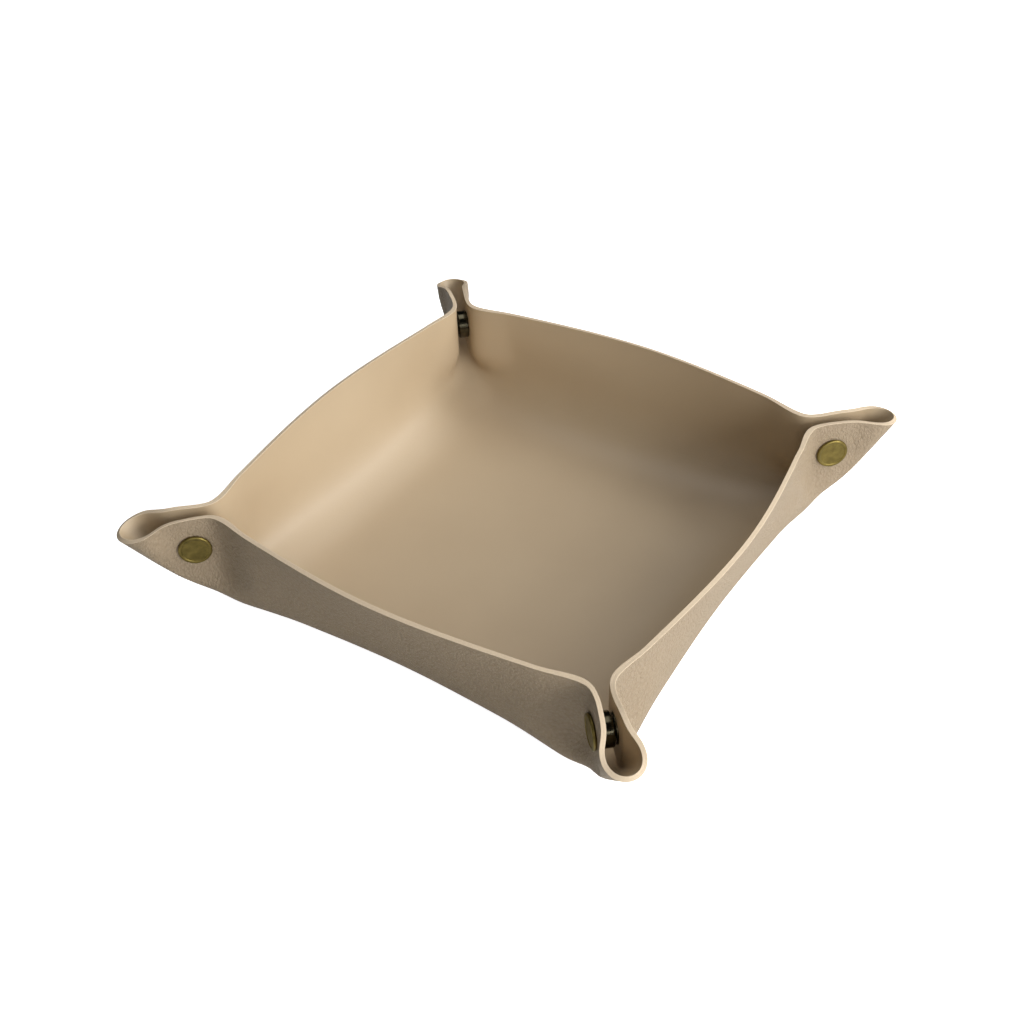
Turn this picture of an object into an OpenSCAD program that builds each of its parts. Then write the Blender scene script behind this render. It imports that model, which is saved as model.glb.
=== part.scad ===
// Valet tray: one square sheet of two bonded leather layers, pinched into four
// standing corners that are each held by a press stud.
// Millimetres. The origin is the centre of the underside, +Z is up. Seen from the
// front, the left corner is at -X -Y, the front one at +X -Y, the right one at
// +X +Y and the back one at -X +Y.

/* [Leather sheet] */
// Side of the square sheet before it is folded
sheet_side = 244; // [236:1:290]
// Radius of the sheet's four corners
sheet_corner_r = 18.5; // [15:0.1:25]
// Thickness of the smooth inner leather
inner_leather_t = 0.85; // [0.6:0.05:1.2]
// Thickness of the grained outer leather
outer_leather_t = 0.85; // [0.6:0.05:1.2]

/* [Walls] */
// Slope of the finished wall from the table, in degrees
wall_angle = 76.6; // [65:0.1:82]
// Distance from the sheet's edge at which the base starts to bend up
bend_start = 64.8; // [58:0.2:70]
// Distance from the sheet's edge at which the wall has its full slope
bend_end = 21; // [16:0.1:28]

/* [Corner fold] */
// Slope of the outer fold line below each pinched corner, in degrees
fold_angle = 49.5; // [44:0.5:54]
// Distance from the sheet's corner, along the diagonal, at which the fold line starts to rise
fold_start = 89.6; // [86:0.1:98]
// Distance from the sheet's corner at which the fold line has its full slope
fold_end = 10.3; // [4:0.1:16]
// Distance from the sheet's edge within which the corner is pinched
pinch_depth = 68.8; // [62:0.2:76]
// Distance from the neighbouring edge at which a wall turns into its pinch
pinch_turn_at = 42.6; // [41:0.1:45]
// Length of that turn, measured along the sheet
pinch_turn_length = 15.3; // [13:0.1:18]
// Angle by which the two leaves of an ear spread past parallel, in degrees
ear_spread_angle = 17.3; // [12:0.1:20]
// Length of leather in each half of the round end of an ear
ear_end_length = 16.7; // [15:0.1:18]

/* [Press stud] */
// Distance from the sheet's edge to the middle of a press stud
snap_from_edge = 12.5; // [11.6:0.1:13]
// Distance from the neighbouring edge to the middle of a press stud
snap_from_corner = 33.6; // [32:0.1:35]
// Space between the two inner faces at a closed press stud
snap_gap = 5.4; // [5:0.1:6]
// Diameter of the visible cap
cap_d = 12.5; // [12:0.1:13]
// Radius of the cap's rolled edge
cap_edge_r = 0.65; // [0.5:0.05:0.8]
// Distance of the socket's edge inside the cap's
socket_inset = 0.25; // [0:0.05:0.5]
// Distance of the stud's edge inside the cap's
stud_inset = 0.75; // [0.5:0.05:1]
// Largest diameter of the stud's head
stud_head_d = 5.9; // [5.7:0.1:6]
// Outer diameter of the tubular posts that clamp through the leather
post_d = 4; // [3.6:0.1:4]
// Wall of the tubular posts
post_wall = 0.4; // [0.3:0.05:0.6]

/* [Hidden] */
$fn = 64;

// The four corners, each as [sign of x, sign of y, side of the cap]. The cap is
// on the clockwise leaf of an ear (seen from above) where the last value is 1.
LEFT = [-1, -1, -1];
FRONT = [1, -1, 1];
RIGHT = [1, 1, 1];
BACK = [-1, 1, 1];

// How each hand-folded ear departs from the even one: more spread in degrees,
// longer round end, steeper fold line in degrees, earlier turn and sideways lean.
// Rows are the left, front, right and back corner.
spread_angle_more = [1.2, 2.9, -2.9, 1.1];
end_longer = [2.8, 0.1, -2.5, -1];
fold_angle_more = [0.8, -1.9, 3.6, -1.4];
turn_earlier = [0.9, -1.7, -0.4, 0.7];
ear_lean = [-0.1, -0.2, -2, -1.3];

leather_t = inner_leather_t + outer_leather_t;
half_side = sheet_side / 2;
// Length over which a wall drops to the fold line, at the base and at the rim
drop_length_base = 47.7;
drop_length_rim = 28.9;
// Distance past the pinch's turn over which a leaning ear moves sideways
lean_before = 24;
// Half of the flat square that the press stud needs, and the softening around it
seat_margin = 1;
seat_half = cap_d / 2 + seat_margin;
seat_soften = 13.5;
// Distance from the diagonal plane to the bonding face between the two leathers
bond_n = snap_gap / 2 + inner_leather_t;

// Ring lines of the sheet by distance from its edge. They are close together at
// the pinch and meet the edges of the press stud's flat seat.
seat_gap = snap_from_corner - snap_from_edge - 2 * seat_half;
to_bend = bend_start - snap_from_corner - seat_half;
rim_shares = [0, 1 / 3, 2 / 3];
seat_shares = [-1, -0.5, 0, 0.5, 1];
bend_shares = [0.11, 0.24, 0.42, 0.68, 1];
base_share = 0.5;
edge_distance = concat(
    [for (share = rim_shares) share * (snap_from_edge - seat_half)],
    [for (share = seat_shares) snap_from_edge + share * seat_half],
    [snap_from_edge + seat_half + seat_gap / 2],
    [for (share = seat_shares) snap_from_corner + share * seat_half],
    [for (share = bend_shares) snap_from_corner + seat_half + to_bend * share],
    [half_side - (half_side - bend_start) * base_share, half_side]
);
last = len(edge_distance) - 1;
// The same lines by distance from the centre, from the centre outwards
ring_at = [for (i = [0 : last]) half_side - edge_distance[last - i]];
snap_ring = last - len(rim_shares) - floor(len(seat_shares) / 2);
snap_column = snap_ring - len(seat_shares) - 1;
// Small steps between two grid lines when a ring is walked
walk_steps = 4;
// Steps of the sums that turn a slope into a profile
profile_steps = 32;

// Angle from a wall to the diagonal plane of its corner
half_corner_angle = 45;

function clip(x) = max(0, min(1, x));
// Smooth step, and a ramp that starts smoothly and ends at full rate
function smooth(x) = let(t = clip(x)) t * t * (3 - 2 * t);
function late_ramp(x) = let(t = clip(x)) t * t * (3 - t) / 2;
function total(list) = list * [for (v = list) 1];
function unit(v) = v / norm(v);

// Run and rise after a length of leather whose slope grows smoothly from
// nothing at x0 to the given slope at x1
function run_and_rise(x, x0, x1, slope) =
    let(
        step = (min(max(x, x0), x1) - x0) / profile_steps,
        angles = [for (i = [0.5 : profile_steps]) slope * smooth(i * step / (x1 - x0))],
        past = max(x - x1, 0)
    )
    [
        min(x, x0) + step * total([for (a = angles) cos(a)]) + past * cos(slope),
        step * total([for (a = angles) sin(a)]) + past * sin(slope)
    ];

// Steps along one ring from the middle of a wall: the heading in plan, and the
// drop from the wall's height to that of the fold line
function heading(t, turn, pinch_start, end_start, end_length) =
    turn * smooth((t - pinch_start) / pinch_turn_length)
    - (half_corner_angle + turn) * late_ramp((t - end_start) / end_length);

// One ring of one corner, from the middle of the wall to the diagonal. Each
// ring is a rounded square round the centre, and its length is kept.
function ring(k, c) =
    let(
        v = ring_at[k],
        r = sheet_corner_r * v / half_side,
        length = v - (1 - PI / 4) * r,
        reach = sqrt(2) * v - (sqrt(2) - 1) * r,
        diagonal = sqrt(2) * half_side - (sqrt(2) - 1) * sheet_corner_r,
        wall = run_and_rise(v, half_side - bend_start, half_side - bend_end, wall_angle),
        fold = run_and_rise(reach, diagonal - fold_start, diagonal - fold_end,
            fold_angle + fold_angle_more[c]),
        pinch = smooth((v - half_side + pinch_depth) / pinch_depth),
        turn = pinch * (half_corner_angle + ear_spread_angle + spread_angle_more[c]),
        turn_at = half_side - pinch_turn_at - turn_earlier[c] - pinch_turn_length / 2,
        end_length = (PI / 4) * r * (1 - pinch) + (ear_end_length + end_longer[c]) * pinch,
        end_start = length - end_length,
        drop = min(drop_length_base + (drop_length_rim - drop_length_base) * pinch, length),
        height = function (t) wall[1] + (fold[1] - wall[1]) * smooth((t - length + drop) / drop),
        stops = [for (j = [0 : k]) ring_at[j] * length / v],
        plan = [
            for (
                j = 0, p = [0, wall[0]];
                j <= k;
                p = p + (j < k ? walk(stops[j], stops[j + 1], height, turn, turn_at,
                    end_start, end_length) : [0, 0]),
                j = j + 1
            ) p
        ],
        miss = [fold[0], fold[0]] / sqrt(2) - plan[k]
    )
    [for (j = [0 : k]) [
        plan[j][0] + miss[0] * smooth(stops[j] / length),
        plan[j][1] + miss[1] * smooth(stops[j] / length),
        height(stops[j])
    ]];

// Plan move between two stops of a ring, in short steps of constant length
function walk(t0, t1, height, turn, turn_at, end_start, end_length) =
    let(
        step = (t1 - t0) / walk_steps,
        moves = [
            for (i = [0 : walk_steps - 1])
                let(
                    t = t0 + i * step,
                    dz = height(t + step) - height(t),
                    run = sqrt(max(step * step - dz * dz, 0)),
                    a = heading(t + step / 2, turn, turn_at, end_start, end_length)
                )
                run * [cos(a), sin(a)]
        ]
    )
    [for (axis = [0, 1]) total([for (m = moves) m[axis]])];

// All rings of the four corners
octants = [for (c = [0 : 3]) [for (k = [0 : last]) k == 0 ? [[0, 0, 0]] : ring(k, c)]];

// Grid addresses i and j run from -last to last. corner_of gives the corner's
// row in the tables above.
function corner_of(i, j) = j < 0 ? (i < 0 ? 0 : 1) : (i < 0 ? 3 : 2);
function sign_of(i) = i < 0 ? -1 : 1;
// Sideways direction at a corner, from the X wall to the Y wall
function across(i, j) = [-sign_of(i), sign_of(j), 0] / sqrt(2);
function lean_at(i, j) =
    let(
        v = ring_at[max(abs(i), abs(j))],
        s = ring_at[min(abs(i), abs(j))],
        c = corner_of(i, j),
        before = half_side - pinch_turn_at - turn_earlier[c] - lean_before
    )
    ear_lean[c] * smooth((v - half_side + pinch_depth) / pinch_depth)
        * smooth((s - before) / lean_before);
function folded(i, j) =
    let(
        a = abs(i),
        b = abs(j),
        octant = octants[corner_of(i, j)],
        p = b >= a ? octant[b][a] : [octant[a][b][1], octant[a][b][0], octant[a][b][2]]
    )
    [sign_of(i) * p[0], sign_of(j) * p[1], p[2]] + lean_at(i, j) * across(i, j);

span = [-last : last];
bond = [for (i = span) [for (j = span) folded(i, j)]];
function bond_at(i, j) = bond[last + max(-last, min(last, i))][last + max(-last, min(last, j))];

// Direction out of the inner face. On a diagonal it comes from the ring's own
// direction, so that the round end of an ear keeps its thickness.
function inward(i, j) =
    abs(i) == abs(j) && i != 0
    ? let(
        si = sign_of(i),
        sj = sign_of(j),
        along = bond_at(i, j - sj) - bond_at(i - si, j),
        out = bond_at(i + si, j + sj) - bond_at(i - si, j - sj)
      )
      si * sj * unit(cross(along, out))
    : unit(cross(bond_at(i + 1, j) - bond_at(i - 1, j), bond_at(i, j + 1) - bond_at(i, j - 1)));

// Share by which a grid point is pressed into the flat seat of its press stud.
// It fades out towards the fold line, which stays between the two leaves.
function seat_share(i, j) =
    let(
        v = ring_at[max(abs(i), abs(j))],
        s = ring_at[min(abs(i), abs(j))],
        away = norm([
            max(abs(s - half_side + snap_from_corner) - seat_half, 0),
            max(abs(v - half_side + snap_from_edge) - seat_half, 0)
        ])
    )
    (1 - smooth(away / seat_soften)) * smooth((v - s) / seat_gap);

// Point of the face that lies a given offset inside the bonding face. The whole
// sheet is raised so that its underside is at zero.
function leather_point(i, j, offset) =
    let(
        p = bond_at(i, j) + offset * inward(i, j) + [0, 0, outer_leather_t],
        d = across(i, j),
        side = abs(j) >= abs(i) ? 1 : -1,
        seat = side * (bond_n - offset) + ear_lean[corner_of(i, j)]
    )
    p + (seat - p * d) * seat_share(i, j) * d;

side_count = 2 * last + 1;
function index(i, j) = (i + last) * side_count + j + last;
cells = [for (i = [-last : last - 1]) for (j = [-last : last - 1]) [i, j]];
// Two triangles for each cell, split towards the sheet's own corners
function cell_faces(i, j, base) =
    let(
        a = base + index(i, j),
        b = base + index(i + 1, j),
        c = base + index(i + 1, j + 1),
        d = base + index(i, j + 1)
    )
    (i + 0.5) * (j + 0.5) > 0 ? [[a, c, b], [a, d, c]] : [[a, d, b], [b, d, c]];
function flipped(faces) = [for (f = faces) [f[2], f[1], f[0]]];
rim = concat(
    [for (i = [-last : last - 1]) index(i, -last)],
    [for (j = [-last : last - 1]) index(last, j)],
    [for (i = [last : -1 : 1 - last]) index(i, last)],
    [for (j = [last : -1 : 1 - last]) index(-last, j)]
);

// A layer of leather between two offsets from the bonding face
module leather_layer(low, high) {
    top = [for (i = span) for (j = span) leather_point(i, j, high)];
    bottom = [for (i = span) for (j = span) leather_point(i, j, low)];
    count = side_count * side_count;
    walls = [
        for (n = [0 : len(rim) - 1])
            let(a = rim[n], b = rim[(n + 1) % len(rim)])
            each [[a, b, b + count], [a, b + count, a + count]]
    ];
    difference() {
        polyhedron(
            points = concat(top, bottom),
            faces = concat(
                [for (c = cells) each cell_faces(c[0], c[1], 0)],
                [for (c = cells) each flipped(cell_faces(c[0], c[1], count))],
                walls
            )
        );
        for (corner = [LEFT, FRONT, RIGHT, BACK])
            at_snap(corner) cylinder(
                d = post_d + 2 * hole_clearance,
                h = snap_gap + 2 * leather_t + 2 * overrun,
                center = true
            );
    }
}

// Middle of a press stud, halfway between the two leaves of its ear
function snap_centre(corner) =
    let(i = corner[0] * snap_column, j = corner[1] * snap_ring)
    (leather_point(i, j, 0)
        + leather_point(corner[0] * snap_ring, corner[1] * snap_column, 0)) / 2;

// Puts a child on a press stud's axis, with +Z from the stud towards the cap
module at_snap(corner) {
    azimuth = atan2(corner[1], corner[0]) - 90 * corner[2];
    translate(snap_centre(corner)) rotate([0, 90, azimuth]) children();
}

// Press stud sizes along its axis, measured from the middle of the gap
socket_d = cap_d - 2 * socket_inset;
stud_d = cap_d - 2 * stud_inset;
hole_clearance = 0.2;
overrun = 1;
inner_face = snap_gap / 2;
outer_face = inner_face + leather_t;
metal_t = 0.5;
edge_r = 0.4;
cap_face_drop = 0.2;
cap_rim_w = 1.1;
post_clearance = 0.05;
clinch_w = 0.7;
clinch_t = 0.4;
stud_base_t = 0.6;
mouth_clearance = 0.5;
mouth = stud_base_t + mouth_clearance - inner_face;
lip_t = 0.5;
lip_clearance = 0.2;
wire_d = 0.7;
wire_clearance = 0.05;
wire_gap_angle = 40;
wire_top = mouth + lip_t + wire_d + 2 * wire_clearance;
groove_r = 3.7;
neck_inset = 0.3;
neck_d = stud_head_d - 2 * neck_inset;
head_clearance = 0.2;
stud_top = inner_face - metal_t - clinch_t - head_clearance;
head_r = (stud_top - wire_top) / 2;
stud_hole_d = 2.6;
arc_steps = 6;
post_flange_d = stud_d;
post_flange_t = 0.7;

// Points of a quarter-round edge about a centre, from one angle to another
function arc(x, y, r, a0, a1) = [
    for (i = [0 : arc_steps])
        let(a = a0 + (a1 - a0) * i / arc_steps)
        [x + r * cos(a), y + r * sin(a)]
];

module turned(points) rotate_extrude() polygon(points);

// Shallow round cap with a rolled edge, and the hollow post that holds the socket
module snap_cap(corner) color("darkgoldenrod") at_snap(corner) {
    post_r = post_d / 2;
    bore_r = post_r - post_wall;
    seat = inner_face - metal_t;
    top = outer_face + 2 * cap_edge_r;
    face_r = cap_d / 2 - cap_edge_r - cap_rim_w / 2;
    turned(concat(
        [[0, top - cap_face_drop], [face_r - cap_face_drop, top - cap_face_drop], [face_r, top]],
        arc(cap_d / 2 - cap_edge_r, outer_face + cap_edge_r, cap_edge_r, 90, -90),
        [
            [post_r, outer_face], [post_r, seat], [post_r + clinch_w, seat],
            [post_r + clinch_w, seat - clinch_t], [bore_r, seat - clinch_t],
            [bore_r, outer_face], [0, outer_face]
        ]
    ));
}

// Round socket with a groove for its spring behind the mouth
module snap_socket(corner) color("goldenrod") at_snap(corner) {
    outer_r = socket_d / 2;
    floor = inner_face - metal_t;
    lip_r = stud_head_d / 2 + lip_clearance;
    turned(concat(
        [
            [post_d / 2 + post_clearance, inner_face], [post_d / 2 + post_clearance, floor],
            [groove_r, floor], [groove_r, mouth + lip_t], [lip_r, mouth + lip_t]
        ],
        [[lip_r, mouth]],
        arc(outer_r - edge_r, mouth + edge_r, edge_r, -90, 0),
        arc(outer_r - edge_r, inner_face - edge_r, edge_r, 0, 90)
    ));
}

// Split ring of round wire that closes behind the stud's head
module snap_spring(corner) color("silver") at_snap(corner)
    translate([0, 0, mouth + lip_t + wire_clearance + wire_d / 2])
        rotate([0, 0, wire_gap_angle / 2])
            rotate_extrude(angle = 360 - wire_gap_angle)
                translate([neck_d / 2 + wire_clearance + wire_d / 2, 0])
                    circle(d = wire_d, $fn = 24);

// Stud with a round head on a narrower neck, hollow for its post
module snap_stud(corner) color("goldenrod") at_snap(corner) {
    head_x = stud_head_d / 2 - head_r;
    under_angle = acos((neck_d / 2 - head_x) / head_r);
    bore_r = post_d / 2 + post_clearance;
    base = -inner_face;
    turned(concat(
        [[bore_r, base]],
        [[stud_d / 2, base]],
        arc(stud_d / 2 - edge_r, base + stud_base_t - edge_r, edge_r, 0, 90),
        [[neck_d / 2, base + stud_base_t]],
        arc(head_x, stud_top - head_r, head_r, -under_angle, 90),
        [[stud_hole_d / 2, stud_top], [stud_hole_d / 2, stud_top - clinch_t],
         [bore_r, stud_top - clinch_t]]
    ));
}

// Flanged post that clamps the stud from the outer face of the other leaf
module snap_post(corner) color("darkgoldenrod") at_snap(corner) {
    post_r = post_d / 2;
    back = -outer_face - post_flange_t;
    end = stud_top - clinch_t - wire_clearance;
    turned(concat(
        [[0, back]],
        arc(post_flange_d / 2 - edge_r, back + edge_r, edge_r, -90, 0),
        [
            [post_flange_d / 2, -outer_face], [post_r, -outer_face], [post_r, end],
            [post_r - post_wall, end], [post_r - post_wall, -outer_face], [0, -outer_face]
        ]
    ));
}

module inner_leather() color("tan") leather_layer(0, inner_leather_t);
module outer_leather() color("rosybrown") leather_layer(-outer_leather_t, 0);

inner_leather();
outer_leather();
snap_cap(LEFT);  // left_cap
snap_socket(LEFT);  // left_socket
snap_spring(LEFT);  // left_spring
snap_stud(LEFT);  // left_stud
snap_post(LEFT);  // left_post
snap_cap(FRONT);  // front_cap
snap_socket(FRONT);  // front_socket
snap_spring(FRONT);  // front_spring
snap_stud(FRONT);  // front_stud
snap_post(FRONT);  // front_post
snap_cap(RIGHT);  // right_cap
snap_socket(RIGHT);  // right_socket
snap_spring(RIGHT);  // right_spring
snap_stud(RIGHT);  // right_stud
snap_post(RIGHT);  // right_post
snap_cap(BACK);  // back_cap
snap_socket(BACK);  // back_socket
snap_spring(BACK);  // back_spring
snap_stud(BACK);  // back_stud
snap_post(BACK);  // back_post
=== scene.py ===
"""Looks of a leather valet tray: a folded sheet of two bonded leathers and its press studs.

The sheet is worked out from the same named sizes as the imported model, at a finer step,
and cut into pieces that follow the opening of each corner. Sizes in classes are
millimetres, and meshes are made in metres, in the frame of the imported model.
"""

import logging
import math
from dataclasses import dataclass, field
from enum import Enum
from typing import Any

import bpy
import numpy as np
from mathutils import Matrix, Vector


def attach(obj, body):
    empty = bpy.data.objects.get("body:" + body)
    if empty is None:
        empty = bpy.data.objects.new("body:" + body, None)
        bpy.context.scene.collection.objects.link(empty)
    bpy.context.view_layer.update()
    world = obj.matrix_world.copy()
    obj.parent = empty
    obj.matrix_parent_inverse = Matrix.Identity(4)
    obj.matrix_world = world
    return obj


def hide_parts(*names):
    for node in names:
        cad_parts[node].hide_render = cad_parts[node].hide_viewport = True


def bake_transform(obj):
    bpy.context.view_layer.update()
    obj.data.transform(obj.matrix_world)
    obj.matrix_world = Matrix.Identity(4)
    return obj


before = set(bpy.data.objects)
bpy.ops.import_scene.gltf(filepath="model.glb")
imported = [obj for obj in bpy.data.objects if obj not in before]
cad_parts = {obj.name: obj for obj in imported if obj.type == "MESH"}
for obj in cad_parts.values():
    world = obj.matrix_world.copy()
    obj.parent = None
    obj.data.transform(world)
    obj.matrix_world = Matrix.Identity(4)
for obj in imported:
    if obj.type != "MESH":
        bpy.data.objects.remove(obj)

MM = 0.001
DIAGONAL = math.sqrt(2)
DIAGONAL_ANGLE = 45.0
UP = (0.0, 0.0, 1.0)
WHITE = "ffffff"
COLOUR_A, COLOUR_B, COLOUR_OUT = 6, 7, 2
VECTOR_A, VECTOR_B, VECTOR_OUT = 4, 5, 1
LOG = logging.getLogger("valet_tray")
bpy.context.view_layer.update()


def linear(hex_colour: str, alpha: float = 1.0) -> tuple[float, float, float, float]:
    """Turns an sRGB hex value such as "b49e82" into linear light.

    Args:
        hex_colour: Six hex digits, red first.
        alpha: Opacity of the colour.

    Returns:
        Linear red, green and blue, and the opacity.
    """
    parts = [int(hex_colour[i : i + 2], 16) / 255 for i in (0, 2, 4)]
    light = [c / 12.92 if c <= 0.04045 else ((c + 0.055) / 1.055) ** 2.4 for c in parts]
    return light[0], light[1], light[2], alpha


def smooth(x: np.ndarray | float) -> np.ndarray:
    """Smooth step from 0 to 1."""
    t = np.clip(x, 0.0, 1.0)
    return t * t * (3 - 2 * t)


def late_ramp(x: np.ndarray | float) -> np.ndarray:
    """Ramp from 0 to 1 that starts smoothly and ends at its full rate."""
    t = np.clip(x, 0.0, 1.0)
    return t * t * (3 - t) / 2


def add_node(
    tree: bpy.types.NodeTree,
    kind: str,
    inputs: dict[str | int, Any] | None = None,
    **settings: Any,
) -> bpy.types.Node:
    """Adds one shader node with its settings and what goes into it.

    Args:
        tree: The node tree that gets the node.
        kind: Blender's name for the node's type.
        inputs: A value or an output socket for each named or numbered input.
        **settings: Properties of the node.

    Returns:
        The new node.
    """
    node = tree.nodes.new(kind)
    for name, value in settings.items():
        setattr(node, name, value)
    for key, value in (inputs or {}).items():
        if isinstance(value, bpy.types.NodeSocket):
            tree.links.new(value, node.inputs[key])
        else:
            node.inputs[key].default_value = value
    return node


def place_in_scene(name: str, data: bpy.types.ID) -> bpy.types.Object:
    """Makes an object and links it to the scene.

    Args:
        name: Name of the object.
        data: Its mesh, lamp or camera.

    Returns:
        The new object.
    """
    made = bpy.data.objects.new(name, data)
    bpy.context.scene.collection.objects.link(made)
    return made


class EarSide(Enum):
    """The leaf of an ear that carries the cap, seen from above."""

    CLOCKWISE = 1
    COUNTER = -1


@dataclass(frozen=True)
class Ear:
    """One hand-folded corner of the tray, as it departs from the even one.

    The signs sx and sy say on which sides of the tray it is. The other numbers are added
    to the sheet's own sizes, in degrees for the spread and the fold, else in millimetres.
    """

    name: str
    sx: int
    sy: int
    cap_leaf: EarSide
    spread_more: float
    end_longer: float
    fold_steeper: float
    turn_earlier: float
    lean: float

    def across(self) -> np.ndarray:
        """Level direction across the corner, from the X wall to the Y wall."""
        return np.array([-self.sx, self.sy, 0.0]) / DIAGONAL

    def body(self) -> str:
        """The CAD body of the half that opens."""
        return f"{self.name}_catch"

    def cap_on_y_wall(self) -> bool:
        """Whether the cap is on the wall that faces along Y."""
        clockwise = np.array([self.sy, -self.sx, 0.0]) / DIAGONAL
        return float(clockwise @ self.across()) * self.cap_leaf.value > 0


EARS = (
    Ear("left", -1, -1, EarSide.COUNTER, 1.2, 2.8, 0.8, 0.9, -0.1),
    Ear("front", 1, -1, EarSide.CLOCKWISE, 2.9, 0.1, -1.9, -1.7, -0.2),
    Ear("right", 1, 1, EarSide.CLOCKWISE, -2.9, -2.5, 3.6, -0.4, -2.0),
    Ear("back", -1, 1, EarSide.CLOCKWISE, 1.1, -1.0, -1.4, 0.7, -1.3),
)


@dataclass(frozen=True)
class FoldedSheet:
    """The bonding face between the two leathers, folded into the tray's shape.

    A ring at a constant distance from the sheet's edge is a rounded square. Each one
    is walked from the middle of a wall to the corner, keeping its own length. Starts,
    ends and other places are distances from the sheet's edge, or from its corner along a
    fold line. Angles and the ears' spread are degrees.
    """

    side: float = 244.0
    corner_r: float = 18.5
    inner_t: float = 0.85
    outer_t: float = 0.85
    wall_angle: float = 76.6
    bend_start: float = 64.8
    bend_end: float = 21.0
    fold_angle: float = 49.5
    fold_start: float = 89.6
    fold_end: float = 10.3
    pinch_depth: float = 68.8
    turn_at: float = 42.6
    turn_length: float = 15.3
    ear_spread: float = 17.3
    ear_end_length: float = 16.7
    drop_base: float = 47.7
    drop_rim: float = 28.9
    lean_before: float = 24.0
    snap_from_edge: float = 12.5
    snap_from_corner: float = 33.6
    snap_gap: float = 5.4
    cap_d: float = 12.5
    seat_margin: float = 1.0
    seat_soften: float = 13.5
    ease_to: float = 60.0
    ease_full: float = 22.0
    ear_step: float = 0.95
    bend_step: float = 2.2
    base_step: float = 5.0
    sub_steps: int = 3
    profile_points: int = 2400

    @property
    def half(self) -> float:
        """Half of the sheet's side."""
        return self.side / 2

    def seat_end(self) -> float:
        """Distance from the corner at which the flat square of a press stud ends."""
        return self.snap_from_corner + self.cap_d / 2 + self.seat_margin

    def lines(self) -> np.ndarray:
        """Places the grid's lines, closest at the ears and widest on the base.

        Returns:
            Distances from the centre, from the centre out.
        """
        zones = ((0.0, self.seat_end(), self.ear_step),
                 (self.seat_end(), self.bend_start, self.bend_step),
                 (self.bend_start, self.half, self.base_step))
        edge: list[float] = [0.0]
        for start, end, step in zones:
            count = math.ceil((end - start) / step)
            edge += [start + (end - start) * (i + 1) / count for i in range(count)]
        return self.half - np.array(edge[::-1])

    def run_and_rise(
        self, x: np.ndarray, start: float, end: float, slope: float
    ) -> tuple[np.ndarray, np.ndarray]:
        """Profile of leather whose slope grows smoothly between two lengths.

        Args:
            x: Lengths along the leather from the centre.
            start: Length at which the slope starts.
            end: Length at which the slope is full.
            slope: Full slope in degrees.

        Returns:
            The run and the rise at each length.
        """
        table = np.linspace(0.0, max(float(np.max(x)), end), self.profile_points)
        angle = np.radians(slope * smooth((table - start) / (end - start)))
        middle = (angle[1:] + angle[:-1]) / 2
        step = table[1] - table[0]
        run = np.concatenate([[0.0], np.cumsum(np.cos(middle)) * step])
        rise = np.concatenate([[0.0], np.cumsum(np.sin(middle)) * step])
        return np.interp(x, table, run), np.interp(x, table, rise)

    def octant(self, ear: Ear, at: np.ndarray) -> np.ndarray:
        """The wall along Y of one corner, from the middle of the wall to the diagonal.

        Args:
            ear: The corner.
            at: Places of the grid lines from the centre.

        Returns:
            Points by ring and by place along the ring; a ring has none past its diagonal.
        """
        count = len(at)
        half = self.half
        radius = self.corner_r * at / half
        length = at - (1 - math.pi / 4) * radius
        reach = DIAGONAL * at - (DIAGONAL - 1) * radius
        diagonal = reach[-1]
        wall_run, wall_rise = self.run_and_rise(
            at, half - self.bend_start, half - self.bend_end, self.wall_angle)
        fold_run, fold_rise = self.run_and_rise(
            reach, diagonal - self.fold_start, diagonal - self.fold_end,
            self.fold_angle + ear.fold_steeper)
        turn_start = half - self.turn_at - ear.turn_earlier - self.turn_length / 2
        points = np.full((count, count, 3), np.nan)
        points[0, 0] = 0.0
        for k in range(1, count):
            pinch = float(smooth((at[k] - half + self.pinch_depth) / self.pinch_depth))
            turn = pinch * (DIAGONAL_ANGLE + self.ear_spread + ear.spread_more)
            end_length = (math.pi / 4) * radius[k] * (1 - pinch) \
                + (self.ear_end_length + ear.end_longer) * pinch
            drop = min(self.drop_base + (self.drop_rim - self.drop_base) * pinch, length[k])
            stops = at[: k + 1] * length[k] / at[k]
            shares = np.arange(1, self.sub_steps + 1) / self.sub_steps
            fine = np.concatenate(
                [[0.0], (stops[:-1, None] + np.diff(stops)[:, None] * shares).ravel()])
            rise = wall_rise[k] + (fold_rise[k] - wall_rise[k]) * smooth(
                (fine - length[k] + drop) / drop)
            run = np.sqrt(np.maximum(np.diff(fine) ** 2 - np.diff(rise) ** 2, 0.0))
            middle = (fine[1:] + fine[:-1]) / 2
            heading = np.radians(
                turn * smooth((middle - turn_start) / self.turn_length)
                - (DIAGONAL_ANGLE + turn) * late_ramp(
                    (middle - length[k] + end_length) / end_length))
            x = np.concatenate([[0.0], np.cumsum(run * np.cos(heading))])[:: self.sub_steps]
            y = wall_run[k] + np.concatenate(
                [[0.0], np.cumsum(run * np.sin(heading))])[:: self.sub_steps]
            share = smooth(stops / length[k])
            corner = fold_run[k] / DIAGONAL
            points[k, : k + 1, 0] = x + (corner - x[-1]) * share
            points[k, : k + 1, 1] = y + (corner - y[-1]) * share
            points[k, : k + 1, 2] = rise[:: self.sub_steps]
        return points


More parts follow.
